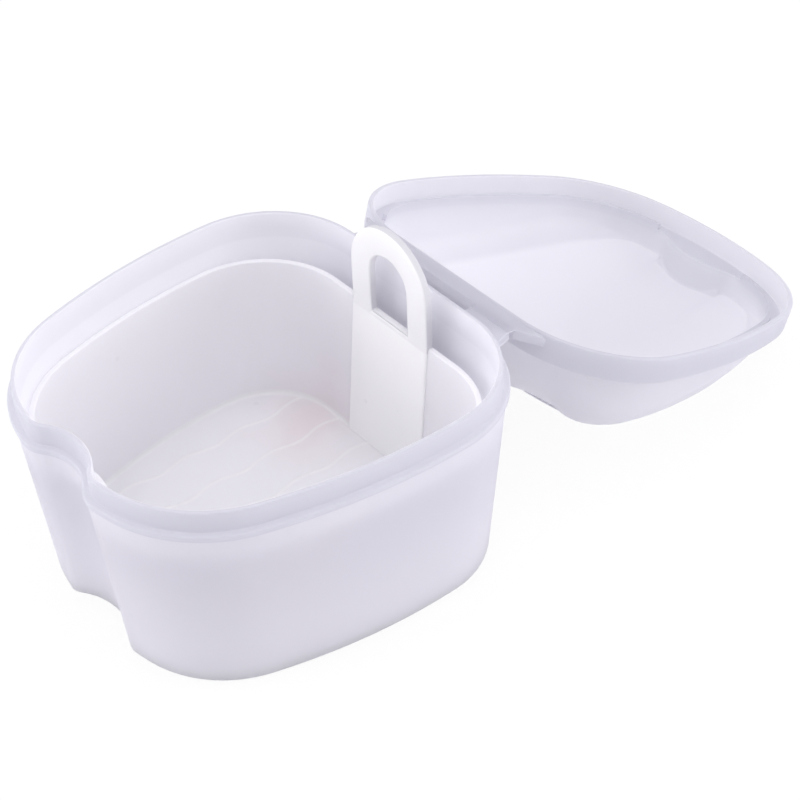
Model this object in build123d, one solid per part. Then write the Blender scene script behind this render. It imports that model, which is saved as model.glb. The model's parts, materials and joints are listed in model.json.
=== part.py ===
from build123d import *
import math
import os

os.makedirs("parts", exist_ok=True)

# A denture case: an open tub and its lid joined by a two-strap living hinge, and a
# lift-out basket with a tall handle. Millimetres, +Z up, the front notch towards -Y and
# the hinge towards +Y. The origin is the centre of the face that the tub stands on.
# The lid is drawn shut and then swung open about the hinge line to its rest pose.

# Plan outline of the tub's lip: four shallow arcs with rounded corners
BACK_HALF_WIDTH = 43.19
BACK_CORNER_Y = 43.1
FRONT_HALF_WIDTH = 33.81
FRONT_CORNER_Y = -40.66
SIDE_BULGE = 6.37
BACK_BULGE = 0.39
FRONT_BULGE = 7.49
BACK_CORNER_RADIUS = 24.4
FRONT_CORNER_RADIUS = 29.4

# Finger notch down the middle of the front, sharper on the tub than on what it holds
NOTCH_DEPTH = 5.1
NOTCH_RADIUS = 14.0
TUB_SHOULDER_RADIUS = 6.0
INNER_SHOULDER_RADIUS = 9.6

# Tub
TUB_HEIGHT = 51.2
LIP_HEIGHT = 4.9
LIP_WALL = 1.1
LEDGE_REACH = 1.5
LEDGE_THICKNESS = 1.45
WALL_STEP_UNDER_LEDGE = 0.6
WALL_DRAFT = 5.0
TUB_FLOOR = 2.0
BASE_ROUNDING = 2.0
LIP_ROUNDING = 0.35
LEDGE_ROUNDING = 0.45

# Living hinge
HINGE_DISTANCE = 6.8
OPEN_ANGLE = 198.4
STRAP_INNER_HALF = 13.2
STRAP_OUTER_HALF = 25.5
FLANGE_ROOT_FLARE = 1.5
FLANGE_THICKNESS = 2.2
FLANGE_TO_AXIS = 0.7
LID_FLANGE_FLARE = 5.5
STRAP_BEAD_RADIUS = 0.45
STRAP_THICKNESS = 0.4

# Lid
PART_GAP = 0.3
RIM_OVERHANG = 1.55
RIM_WALL = 1.36
SKIRT_DRAFT = 2.0
LID_WALL = 1.4
POCKET_CEILING_GAP = 0.6
SHELF_THICKNESS = 1.2
DOME_INSET = 2.1
DOME_DRAFT = 2.5
CROWN_RADIUS = 185.0
CROWN_RISE = 23.8
CROWN_CENTRE_Y = 26.0
DOME_ROUNDING = 3.5
SKIRT_ROUNDING = 0.6
SEAL_RIB_TO_LIP = 1.4
SEAL_RIB_WALL = 1.0
SEAL_RIB_DROP = 1.5
SEAL_RIB_FRONT_HALF_GAP = 14.5
SEAL_RIB_BACK_LIMIT = 34.0

# Lift-out basket and its handle
BASKET_GAP = 0.5
BASKET_RIM_BELOW_LIP = 10.7
BASKET_RIM_WALL = 1.4
BASKET_FLOOR_WALL = 1.2
BASKET_BACK_FACE_Y = 38.6
BASKET_FLOOR_ROUNDING = 1.0
BASKET_RIM_ROUNDING = 0.3
HANDLE_STEP = 0.6
HANDLE_HALF_WIDTH = 13.0
HANDLE_STRIP = 6.6
HANDLE_RISE = 24.0

# Levels and places that follow from the sizes above
LEDGE_TOP = TUB_HEIGHT - LIP_HEIGHT
LEDGE_UNDERSIDE = LEDGE_TOP - LEDGE_THICKNESS
LIP_FRONT_Y = FRONT_CORNER_Y - FRONT_BULGE
LIP_BACK_Y = BACK_CORNER_Y + BACK_BULGE
WALL_SLOPE = math.tan(math.radians(WALL_DRAFT))
WALL_TOP_GROW = LEDGE_REACH - WALL_STEP_UNDER_LEDGE
WALL_BASE_GROW = WALL_TOP_GROW - LEDGE_UNDERSIDE * WALL_SLOPE
CAVITY_FLOOR_GROW = -LIP_WALL - (LEDGE_TOP - TUB_FLOOR) * WALL_SLOPE
RIM_LEVEL = LEDGE_TOP + PART_GAP
HINGE_Y = LIP_BACK_Y + HINGE_DISTANCE
HINGE_Z = LEDGE_TOP + PART_GAP / 2
FLANGE_END_Y = HINGE_Y - FLANGE_TO_AXIS
CEILING_LEVEL = TUB_HEIGHT + POCKET_CEILING_GAP
SHELF_TOP = CEILING_LEVEL + SHELF_THICKNESS
CROWN_TOP = RIM_LEVEL + CROWN_RISE
BASKET_RIM_LEVEL = TUB_HEIGHT - BASKET_RIM_BELOW_LIP
BASKET_UNDERSIDE = TUB_FLOOR + PART_GAP
BASKET_FLOOR_LEVEL = BASKET_UNDERSIDE + BASKET_FLOOR_WALL
BASKET_HEIGHT = BASKET_RIM_LEVEL - BASKET_UNDERSIDE
BASKET_DEPTH = BASKET_RIM_LEVEL - BASKET_FLOOR_LEVEL
BASKET_RIM_GROW = -LIP_WALL - (LEDGE_TOP - BASKET_RIM_LEVEL) * WALL_SLOPE - BASKET_GAP
BASKET_BACK_SHIFT = LIP_BACK_Y + BASKET_RIM_GROW - BASKET_BACK_FACE_Y
BASKET_INNER_RIM_Y = BASKET_BACK_FACE_Y - BASKET_RIM_WALL
BASKET_INNER_FLOOR_Y = BASKET_INNER_RIM_Y - BASKET_DEPTH * WALL_SLOPE
BEYOND_EVERYTHING = 4 * TUB_HEIGHT


def polar(centre, radius, angle):
    return (centre[0] + radius * math.cos(angle), centre[1] + radius * math.sin(angle))


def direction(start, end):
    return math.atan2(end[1] - start[1], end[0] - start[0])


def arc_through(start, end, bulge):
    """Centre and radius of the arc from start to end that bulges to its right."""
    chord = math.dist(start, end)
    radius = (chord ** 2 / 4 + bulge ** 2) / (2 * bulge)
    middle = ((start[0] + end[0]) / 2, (start[1] + end[1]) / 2)
    right = direction(start, end) - math.pi / 2
    return polar(middle, bulge - radius, right), radius


def meeting_point(centre_a, radius_a, centre_b, radius_b, near):
    """The point at radius_a from one centre and radius_b from the other."""
    apart = math.dist(centre_a, centre_b)
    along = (radius_a ** 2 - radius_b ** 2 + apart ** 2) / (2 * apart)
    across = math.sqrt(radius_a ** 2 - along ** 2)
    heading = direction(centre_a, centre_b)
    foot = polar(centre_a, along, heading)
    choices = [polar(foot, side * across, heading + math.pi / 2) for side in (-1, 1)]
    return min(choices, key=lambda point: math.dist(point, near))


def right_half_arcs(shoulder_radius, back_shift):
    """Arcs of the outline's right half from front to back, in tangent order.

    Each is centre, radius, start angle, end angle and 1 where growing the outline
    enlarges the arc, or -1 in the hollow of the notch. A shoulder radius of zero
    leaves the notch out.
    """
    front_corner = (FRONT_HALF_WIDTH, FRONT_CORNER_Y)
    back_corner = (BACK_HALF_WIDTH, BACK_CORNER_Y)
    front, front_radius = arc_through((-FRONT_HALF_WIDTH, FRONT_CORNER_Y), front_corner, FRONT_BULGE)
    side, side_radius = arc_through(front_corner, back_corner, SIDE_BULGE)
    back, back_radius = arc_through(back_corner, (-BACK_HALF_WIDTH, BACK_CORNER_Y), BACK_BULGE)
    back = (back[0], back[1] - back_shift)
    turn_front = meeting_point(
        front, front_radius - FRONT_CORNER_RADIUS,
        side, side_radius - FRONT_CORNER_RADIUS, front_corner,
    )
    turn_back = meeting_point(
        side, side_radius - BACK_CORNER_RADIUS,
        back, back_radius - BACK_CORNER_RADIUS, back_corner,
    )
    arcs = []
    front_start = -math.pi / 2
    if shoulder_radius:
        hollow = (0, LIP_FRONT_Y + NOTCH_DEPTH - NOTCH_RADIUS)
        shoulder = meeting_point(
            front, front_radius - shoulder_radius,
            hollow, NOTCH_RADIUS + shoulder_radius, (NOTCH_RADIUS, LIP_FRONT_Y),
        )
        to_hollow = direction(shoulder, hollow)
        front_start = direction(front, shoulder)
        arcs.append((hollow, NOTCH_RADIUS, math.pi / 2, direction(hollow, shoulder), -1))
        arcs.append((shoulder, shoulder_radius, to_hollow, front_start, 1))
    front_end = direction(front, turn_front)
    side_start = direction(side, turn_front)
    side_end = direction(side, turn_back)
    back_start = direction(back, turn_back)
    arcs.append((front, front_radius, front_start, front_end, 1))
    arcs.append((turn_front, FRONT_CORNER_RADIUS, front_end, side_start, 1))
    arcs.append((side, side_radius, side_start, side_end, 1))
    arcs.append((turn_back, BACK_CORNER_RADIUS, side_end, back_start, 1))
    arcs.append((back, back_radius, back_start, math.pi / 2, 1))
    return arcs


def outline(grow, shoulder_radius=0, back_shift=0):
    """The lip's outline as a face at z = 0, grown outwards by the given distance."""
    right = []
    left = []
    for centre, radius, start, end, sense in right_half_arcs(shoulder_radius, back_shift):
        reach = radius + sense * grow
        angles = (start, (start + end) / 2, end)
        points = [polar(centre, reach, angle) for angle in angles]
        mirrored = [(-x, y) for x, y in reversed(points)]
        right.append(ThreePointArc(*points))
        left.insert(0, ThreePointArc(*mirrored))
    return make_face(right + left)


def tub_plan(grow):
    return outline(grow, TUB_SHOULDER_RADIUS)


def dome_plan(grow):
    return outline(grow, INNER_SHOULDER_RADIUS)


def basket_plan(grow):
    """The back is moved forward to leave the handle room inside the lip."""
    return outline(grow, INNER_SHOULDER_RADIUS, BASKET_BACK_SHIFT)


def at_height(level, shape):
    return Pos(0, 0, level) * shape


def drafted(plan, foot_grow, slope, height):
    """A straight-sided block on a plan, leaning outwards by slope as it rises."""
    foot = plan(foot_grow)
    top = plan(foot_grow + height * slope)
    return loft([foot, at_height(height, top)], ruled=True)


def edges_at(solid, level):
    return solid.edges().filter_by_position(Axis.Z, level, level)


def hinge_flange(x_inner, x_outer, flare, root_y, low, high):
    """A flat plate from the wall at root_y to the end face by the hinge line."""
    plate = Polygon(
        (x_inner, root_y),
        (x_outer + flare, root_y),
        (x_outer, FLANGE_END_Y),
        (x_inner, FLANGE_END_Y),
        align=None,
    )
    return at_height(low, extrude(plate, amount=high - low))


def make_tub():
    wall = drafted(tub_plan, WALL_BASE_GROW, WALL_SLOPE, LEDGE_UNDERSIDE)
    wall = fillet(edges_at(wall, 0), BASE_ROUNDING)
    ledge = extrude(tub_plan(LEDGE_REACH), amount=LEDGE_THICKNESS)
    ledge = fillet(edges_at(ledge, LEDGE_THICKNESS), LEDGE_ROUNDING)
    lip = extrude(tub_plan(0), amount=LIP_HEIGHT)
    lip = fillet(edges_at(lip, LIP_HEIGHT), LIP_ROUNDING)
    tub = wall + at_height(LEDGE_UNDERSIDE, ledge) + at_height(LEDGE_TOP, lip)
    root_y = LIP_BACK_Y - LIP_WALL / 2
    for side in (-1, 1):
        tub = tub + hinge_flange(
            side * STRAP_INNER_HALF, side * STRAP_OUTER_HALF, side * FLANGE_ROOT_FLARE,
            root_y, LEDGE_TOP - FLANGE_THICKNESS, LEDGE_TOP,
        )
    cavity = drafted(tub_plan, CAVITY_FLOOR_GROW, WALL_SLOPE, LEDGE_TOP - TUB_FLOOR)
    mouth = extrude(tub_plan(-LIP_WALL), amount=LIP_HEIGHT)
    return tub - at_height(TUB_FLOOR, cavity) - at_height(LEDGE_TOP, mouth)


def crowned_block(grow, foot, crown_radius, rounding):
    """A block on the notched outline, cut off by the lid's spherical crown."""
    slope = -math.tan(math.radians(DOME_DRAFT))
    block = drafted(dome_plan, grow, slope, CROWN_TOP - foot)
    crown = Pos(0, CROWN_CENTRE_Y, CROWN_TOP - CROWN_RADIUS) * Sphere(crown_radius)
    block = at_height(foot, block) & crown
    crown_edges = [e for e in block.edges() if e.bounding_box().min.Z > foot + LID_WALL]
    return fillet(crown_edges, rounding)


def make_seal_rib():
    outer_grow = -LIP_WALL - SEAL_RIB_TO_LIP
    rib = outline(outer_grow) - outline(outer_grow - SEAL_RIB_WALL)
    rib = extrude(rib, amount=SEAL_RIB_DROP)
    front_gap = Box(2 * SEAL_RIB_FRONT_HALF_GAP, TUB_HEIGHT, BEYOND_EVERYTHING)
    behind = Box(
        BEYOND_EVERYTHING, BEYOND_EVERYTHING, BEYOND_EVERYTHING,
        align=(Align.CENTER, Align.MIN, Align.CENTER),
    )
    rib = rib - Pos(0, LIP_FRONT_Y) * front_gap - Pos(0, SEAL_RIB_BACK_LIMIT) * behind
    return at_height(CEILING_LEVEL - SEAL_RIB_DROP, rib)


def make_shut_lid():
    skirt_height = SHELF_TOP - RIM_LEVEL
    skirt_slope = -math.tan(math.radians(SKIRT_DRAFT))
    skirt = drafted(outline, RIM_OVERHANG, skirt_slope, skirt_height)
    skirt = fillet(edges_at(skirt, skirt_height), SKIRT_ROUNDING)
    dome = crowned_block(-DOME_INSET, SHELF_TOP - LID_WALL, CROWN_RADIUS, DOME_ROUNDING)
    flange = hinge_flange(
        0, STRAP_OUTER_HALF, LID_FLANGE_FLARE, LIP_BACK_Y + RIM_WALL,
        RIM_LEVEL, RIM_LEVEL + FLANGE_THICKNESS,
    )
    lid = at_height(RIM_LEVEL, skirt) + dome + flange + mirror(flange, about=Plane.YZ)
    pocket = extrude(outline(RIM_OVERHANG - RIM_WALL), amount=CEILING_LEVEL - RIM_LEVEL)
    hollow = crowned_block(
        -DOME_INSET - LID_WALL, CEILING_LEVEL - LID_WALL, CROWN_RADIUS - LID_WALL,
        DOME_ROUNDING - LID_WALL,
    )
    return lid - at_height(RIM_LEVEL, pocket) - hollow + make_seal_rib()


def make_lid():
    hinge_line = Axis((0, HINGE_Y, HINGE_Z), (1, 0, 0))
    return make_shut_lid().rotate(hinge_line, -OPEN_ANGLE)


def make_hinge_strap(side):
    """Thin strap on the tub's flange with a bead round the hinge line."""
    length = STRAP_OUTER_HALF - STRAP_INNER_HALF
    middle = side * (STRAP_OUTER_HALF + STRAP_INNER_HALF) / 2
    bead = Pos(middle, HINGE_Y, HINGE_Z) * Rot(0, 90, 0) * Cylinder(STRAP_BEAD_RADIUS, length)
    web = Pos(middle, FLANGE_END_Y, LEDGE_TOP) * Box(
        length, FLANGE_TO_AXIS, STRAP_THICKNESS, align=(Align.CENTER, Align.MIN, Align.MAX),
    )
    return bead + web


def make_basket():
    outside = drafted(
        basket_plan, BASKET_RIM_GROW - BASKET_HEIGHT * WALL_SLOPE, WALL_SLOPE, BASKET_HEIGHT,
    )
    inner_rim_grow = BASKET_RIM_GROW - BASKET_RIM_WALL
    inside = drafted(
        basket_plan, inner_rim_grow - BASKET_DEPTH * WALL_SLOPE, WALL_SLOPE, BASKET_DEPTH,
    )
    inside = fillet(edges_at(inside, 0), BASKET_FLOOR_ROUNDING)
    basket = at_height(BASKET_UNDERSIDE, outside) - at_height(BASKET_FLOOR_LEVEL, inside)
    return fillet(edges_at(basket, BASKET_RIM_LEVEL), BASKET_RIM_ROUNDING)


def arch_profile(half_width):
    """A doorway shape whose round top stands HANDLE_RISE above its foot when full size."""
    straight = HANDLE_RISE - HANDLE_HALF_WIDTH
    legs = Rectangle(2 * half_width, straight, align=(Align.CENTER, Align.MIN))
    return legs + Pos(0, straight) * Circle(half_width)


def make_handle(basket):
    """The handle's arch above the basket's rim, and its strip down the wall to the floor."""
    front = Plane(
        (0, BASKET_INNER_RIM_Y - HANDLE_STEP, BASKET_RIM_LEVEL), x_dir=(1, 0, 0), z_dir=(0, -1, 0),
    )
    profile = arch_profile(HANDLE_HALF_WIDTH) - arch_profile(HANDLE_HALF_WIDTH - HANDLE_STRIP)
    arch = extrude(front * profile, amount=-BASKET_RIM_WALL - HANDLE_STEP)
    side_plane = Plane((-HANDLE_HALF_WIDTH, 0, 0), x_dir=(0, 1, 0), z_dir=(1, 0, 0))
    strip = Polygon(
        (BASKET_INNER_FLOOR_Y - HANDLE_STEP, BASKET_FLOOR_LEVEL),
        (BASKET_INNER_FLOOR_Y, BASKET_FLOOR_LEVEL),
        (BASKET_INNER_RIM_Y + BASKET_RIM_ROUNDING, BASKET_RIM_LEVEL),
        (BASKET_INNER_RIM_Y - HANDLE_STEP, BASKET_RIM_LEVEL),
        align=None,
    )
    strip = extrude(side_plane * strip, amount=2 * HANDLE_HALF_WIDTH)
    return arch + strip - basket


basket = make_basket()
pieces = {
    "tub": make_tub(),
    "lid": make_lid(),
    "hinge_strap_left": make_hinge_strap(-1),
    "hinge_strap_right": make_hinge_strap(1),
    "lift_out_basket": basket,
    "basket_handle": make_handle(basket),
}
for name, piece in pieces.items():
    export_step(piece, f"parts/{name}.step")
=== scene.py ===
import json
import math

import bmesh
import bpy
from bpy.props import FloatProperty, FloatVectorProperty, PointerProperty
from mathutils import Matrix, Vector


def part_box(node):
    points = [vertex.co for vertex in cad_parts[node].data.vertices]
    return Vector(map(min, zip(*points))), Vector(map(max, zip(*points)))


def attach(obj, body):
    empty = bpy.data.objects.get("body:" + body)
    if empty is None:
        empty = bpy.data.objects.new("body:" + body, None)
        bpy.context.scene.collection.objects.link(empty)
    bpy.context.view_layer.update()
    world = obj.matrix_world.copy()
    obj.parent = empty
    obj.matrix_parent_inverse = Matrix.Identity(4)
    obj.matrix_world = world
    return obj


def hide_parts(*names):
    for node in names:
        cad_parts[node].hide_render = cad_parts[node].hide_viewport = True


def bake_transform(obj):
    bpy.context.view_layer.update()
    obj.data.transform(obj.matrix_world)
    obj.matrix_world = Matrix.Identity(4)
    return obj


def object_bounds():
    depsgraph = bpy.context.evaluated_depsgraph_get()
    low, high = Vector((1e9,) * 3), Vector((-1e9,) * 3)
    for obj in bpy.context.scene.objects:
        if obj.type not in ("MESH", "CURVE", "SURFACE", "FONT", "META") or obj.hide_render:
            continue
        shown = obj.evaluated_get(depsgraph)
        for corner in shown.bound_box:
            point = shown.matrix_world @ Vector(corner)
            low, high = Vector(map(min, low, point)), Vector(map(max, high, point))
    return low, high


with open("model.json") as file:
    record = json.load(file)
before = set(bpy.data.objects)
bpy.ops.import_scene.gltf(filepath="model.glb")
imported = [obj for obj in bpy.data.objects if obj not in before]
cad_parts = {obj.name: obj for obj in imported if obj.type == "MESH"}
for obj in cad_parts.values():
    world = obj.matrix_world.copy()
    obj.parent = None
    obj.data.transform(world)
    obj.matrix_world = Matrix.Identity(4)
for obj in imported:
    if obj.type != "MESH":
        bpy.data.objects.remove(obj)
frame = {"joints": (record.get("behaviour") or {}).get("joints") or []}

# A hinged denture case in milky translucent plastic: tub, domed lid, living hinge and a
# lift-out basket with a loop handle. Metres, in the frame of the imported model, where the
# lid lies open behind the tub. The lid's mesh is built shut and then swung open.

bl_info = {
    "name": "Denture Case",
    "version": (1, 0, 0),
    "blender": (4, 5, 0),
    "location": "View3D > Sidebar > Denture Case",
    "description": "Builds a hinged denture case with a lift-out basket",
    "category": "Add Mesh",
}

MM = 0.001
WHITE = (1.0, 1.0, 1.0, 1.0)
CAD_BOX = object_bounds()

# Levels and faces read from the frame
TUB_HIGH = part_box("tub")[1]
BASKET_LOW, BASKET_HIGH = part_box("lift_out_basket")
HANDLE_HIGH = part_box("basket_handle")[1]
STRAP_LOW, STRAP_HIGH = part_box("hinge_strap_right")
HINGE = next(joint for joint in frame["joints"] if joint["name"] == "lid_hinge")
HINGE_LINE = Vector(HINGE["pos_m"])
OPEN_ANGLE = math.radians(-HINGE["range_deg"][0])

# Plan outline of the tub's lip: shallow arcs with rounded corners, and the finger notch
BACK_CORNER = (43.19 * MM, 43.1 * MM)
FRONT_CORNER = (33.81 * MM, -40.66 * MM)
SIDE_BULGE = 6.37 * MM
BACK_BULGE = 0.39 * MM
FRONT_BULGE = 7.49 * MM
BACK_CORNER_RADIUS = 24.4 * MM
FRONT_CORNER_RADIUS = 29.4 * MM
NOTCH_DEPTH = 5.1 * MM
NOTCH_RADIUS = 14.0 * MM
TUB_SHOULDER = 6.0 * MM
INNER_SHOULDER = 9.6 * MM
LIP_FRONT_Y = FRONT_CORNER[1] - FRONT_BULGE
LIP_BACK_Y = BACK_CORNER[1] + BACK_BULGE

# How many points stand on each arc of the right half, from the front to the back
NOTCH_STEPS = (12, 9, 10)
HALF_STEPS = (18, 16, 18, 14)

# Walls
SLOPE = math.tan(math.radians(5.0))
LIP_HEIGHT = 4.9 * MM
LIP_WALL = 1.1 * MM
LEDGE_REACH = 1.5 * MM
LEDGE_THICKNESS = 1.45 * MM
WALL_STEP = 0.6 * MM
TUB_FLOOR = 2.0 * MM
LEDGE_TOP = TUB_HIGH.z - LIP_HEIGHT
LEDGE_UNDERSIDE = LEDGE_TOP - LEDGE_THICKNESS
WALL_TOP_GROW = LEDGE_REACH - WALL_STEP
WALL_BASE_GROW = WALL_TOP_GROW - LEDGE_UNDERSIDE * SLOPE
CAVITY_FLOOR_GROW = -LIP_WALL - (LEDGE_TOP - TUB_FLOOR) * SLOPE
SUPPORT = 0.35 * MM

# Hinge plates
PLATE_THICKNESS = 2.2 * MM
PLATE_ROOT_FLARE = 1.5 * MM
LID_PLATE_FLARE = 5.5 * MM
PLATE_END_Y = STRAP_LOW.y
PLATE_EDGE = 0.25 * MM
FILM_THICKNESS = 0.4 * MM
FILM_REACH = 0.5 * MM
FILM_STEPS = 12

# Lid, as it lies when shut
RIM_LEVEL = LEDGE_TOP + 0.3 * MM
CEILING = TUB_HIGH.z + 0.6 * MM
SHELF_TOP = CEILING + 1.2 * MM
RIM_OVERHANG = 1.55 * MM
RIM_WALL = 1.36 * MM
SKIRT_LEAN = math.tan(math.radians(2.0))
LID_WALL = 1.4 * MM
DOME_INSET = 2.1 * MM
DOME_LEAN = 0.2 * MM
CROWN_TOP = RIM_LEVEL + 26.4 * MM
CROWN_RADIUS = 184.3 * MM
CROWN_CENTRE_Y = 26.1 * MM
SHOULDER_FRONT = 1.9 * MM
SHOULDER_SIDE = 8.4 * MM
SHOULDER_BACK = 10.0 * MM
SHOULDER_BACK_CORNER = 18.0 * MM
SHOULDER_MIDDLE_HALF = 19 * MM
SHOULDER_CREASE = 1.25
SHOULDER_STEPS = 8
CROWN_STEPS = 12
POLE_SHARE = 0.02
RIB_TO_LIP = 1.4 * MM
RIB_WALL = 1.0 * MM
RIB_DROP = 1.5 * MM
RIB_FRONT_HALF_GAP = 14.5 * MM
RIB_BACK_LIMIT = 34.0 * MM

# Basket and handle
BASKET_RIM_WALL = 1.4 * MM
BASKET_FLOOR_WALL = 1.2 * MM
BASKET_RIM_GROW = -LIP_WALL - (LEDGE_TOP - BASKET_HIGH.z) * SLOPE - 0.5 * MM
BASKET_BACK_SHIFT = LIP_BACK_Y + BASKET_RIM_GROW - BASKET_HIGH.y
BASKET_FLOOR_TOP = BASKET_LOW.z + BASKET_FLOOR_WALL
HANDLE_HALF_WIDTH = HANDLE_HIGH.x
HANDLE_STRIP = 6.6 * MM
HANDLE_STEP = 0.6 * MM
HANDLE_SINK = 0.3 * MM
STRIP_SINK = BASKET_FLOOR_WALL / 3
HANDLE_ARC_STEPS = 32
HANDLE_LEG_STEPS = 3

# Marks on the basket's floor: wavy ribs that run from front to back, and a warm patch
RIB_SPACING = 11.6 * MM
RIB_INNER_HALF = 0.1 * MM
RIB_OUTER_HALF = 0.7 * MM
RIB_RELIEF = 0.1 * MM
RIB_SWAY = 0.7 * MM
RIB_WAVE = 15.5 * MM
RIB_PHASE = 1.9 * MM
WARM_PATCH = (-20 * MM, 27 * MM, BASKET_FLOOR_TOP)
WARM_PATCH_CORE = 2 * MM
WARM_PATCH_REACH = 19 * MM
WARM_PATCH_FRAYING = 20 * MM


def colour(name, text, default):
    return FloatVectorProperty(
        name=name, description=text, subtype="COLOR", size=3, min=0.0, max=1.0, default=default,
    )


def length(name, text, default):
    return FloatProperty(
        name=name, description=text, unit="LENGTH", subtype="DISTANCE", min=0.0, default=default,
    )


def factor(name, text, default):
    return FloatProperty(
        name=name, description=text, subtype="FACTOR", min=0.0, max=1.0, default=default,
    )


class DENTURE_PG_plastic(bpy.types.PropertyGroup):
    case_colour: colour("Case", "Walls of the tub and lid outside", (0.69, 0.68, 0.75))
    # Painted light: the tub's wall is made paler towards its foot, where the lamps light it less.
    foot_painted_light_colour: colour("Foot", "The tub's wall near its foot", (0.90, 0.89, 0.95))
    # Painted light: the tub's inward faces are made paler than its outside, as if lit through the
    # walls.
    inside_painted_light_colour: colour("Tub inside", "Inward faces of the tub", (0.90, 0.89, 0.95))
    # Painted shade: the lid's inward walls are kept darker than its crown.
    lid_inside_painted_shade_colour: colour("Lid inside", "Inward faces of the lid", (0.74, 0.73, 0.80))
    # Painted light: the crown and the lid's other faces looking along its up are made paler.
    crown_painted_light_colour: colour("Crown", "The lid's crown", (0.91, 0.90, 0.96))
    # Painted shade: the thick lip, ledge and skirt are darkened; the thick plastic also really
    # lets less light through.
    rim_painted_shade_colour: colour("Rims", "The case where it is thick", (0.56, 0.55, 0.64))
    basket_colour: colour("Basket", "Walls of the basket", (0.945, 0.93, 0.975))
    # Painted shade: the arch is darkened where the lamps light it strongly.
    arch_painted_shade_colour: colour("Handle", "The handle's arch", (0.64, 0.63, 0.685))
    # Painted light: the strip below the arch is lifted to near white.
    strip_painted_light_colour: colour("Strip", "The strip below the handle's arch", (0.985, 0.98, 0.99))
    rib_colour: colour("Ribs", "Wavy ribs on the basket's floor", (1.0, 0.99, 1.0))
    patch_colour: colour("Warm patch", "Patch on the basket's floor", (0.90, 0.81, 0.84))
    scuff_colour: colour("Scuffs", "Small scuffs", (0.45, 0.43, 0.5))
    warm_tint: colour("Warm tint", "Faint warm clouds in the plastic", (0.86, 0.82, 0.85))
    case_passing: factor("Case translucency", "Light that passes on through the case", 0.6)
    rim_passing: factor("Rim translucency", "Light that passes on through the rims", 0.5)
    basket_passing: factor(
        "Basket translucency", "Light that passes on through the basket", 0.3,
    )
    handle_passing: factor("Arch translucency", "Light that passes on through the arch", 0.4)
    strip_passing: factor("Strip translucency", "Light that passes on through the strip", 0.02)
    roughness: factor("Roughness", "Satin of the moulded surface", 0.42)


class DENTURE_PG_edges(bpy.types.PropertyGroup):
    lip: length("Lip", "Rounding of the tub's lip", 0.35 * MM)
    ledge: length("Ledge", "Rounding of the ledge's outer edge", 0.45 * MM)
    base: length("Base", "Rounding round the tub's base", 2.0 * MM)
    skirt: length("Skirt", "Rounding along the top of the lid's skirt", 0.6 * MM)
    basket_rim: length("Basket rim", "Rounding of the basket's rim", 0.3 * MM)
    basket_base: length("Basket base", "Rounding round the basket's base", 0.4 * MM)
    basket_floor: length("Basket floor", "Rounding round the basket's floor", 1.0 * MM)
    handle: length("Handle", "Rounding of the handle's edges", 0.45 * MM)


class DENTURE_PG_stage(bpy.types.PropertyGroup):
    camera_place: FloatVectorProperty(
        name="Camera", description="Where the camera stands", subtype="TRANSLATION",
        unit="LENGTH", size=3, default=(0.2702, -0.1713, 0.3015),
    )
    azimuth: FloatProperty(
        name="Azimuth", description="Heading of the camera round the case", subtype="ANGLE",
        default=math.radians(52.11),
    )
    elevation: FloatProperty(
        name="Elevation", description="Camera's angle above the horizon", subtype="ANGLE",
        default=math.radians(39.72),
    )
    roll: FloatProperty(
        name="Roll", description="Camera's turn about its own axis", subtype="ANGLE",
        default=math.radians(-2.05),
    )
    lens: FloatProperty(
        name="Lens", description="Focal length on a 36 mm sensor", unit="CAMERA", default=86.99,
    )
    floor_colour: colour("Floor", "Colour of the pale floor", (0.96, 0.96, 0.96))
    floor_glow: factor("Floor glow", "How far the floor's shadow is lifted to white", 0.9)
    side_power: FloatProperty(
        name="Side lamps", description="Power of each side lamp", unit="POWER", default=4.4,
    )
    sky: factor("Sky", "Strength of the even light all round", 0.72)
    softbox_power: FloatProperty(
        name="Softbox", description="Power of the softbox overhead", unit="POWER", default=3.8,
    )


# Plan outline


def polar(centre, radius, angle):
    return (centre[0] + radius * math.cos(angle), centre[1] + radius * math.sin(angle))


def direction(start, end):
    return math.atan2(end[1] - start[1], end[0] - start[0])


def arc_through(start, end, bulge):
    """Centre and radius of the arc from start to end that bulges to its right."""
    chord = math.dist(start, end)
    radius = (chord ** 2 / 4 + bulge ** 2) / (2 * bulge)
    middle = ((start[0] + end[0]) / 2, (start[1] + end[1]) / 2)
    right = direction(start, end) - math.pi / 2
    return polar(middle, bulge - radius, right), radius


def meeting_point(centre_a, radius_a, centre_b, radius_b, near):
    """The point at radius_a from one centre and radius_b from the other."""
    apart = math.dist(centre_a, centre_b)
    along = (radius_a ** 2 - radius_b ** 2 + apart ** 2) / (2 * apart)
    across = math.sqrt(radius_a ** 2 - along ** 2)
    heading = direction(centre_a, centre_b)
    foot = polar(centre_a, along, heading)
    choices = [polar(foot, side * across, heading + math.pi / 2) for side in (-1, 1)]
    return min(choices, key=lambda point: math.dist(point, near))


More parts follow.
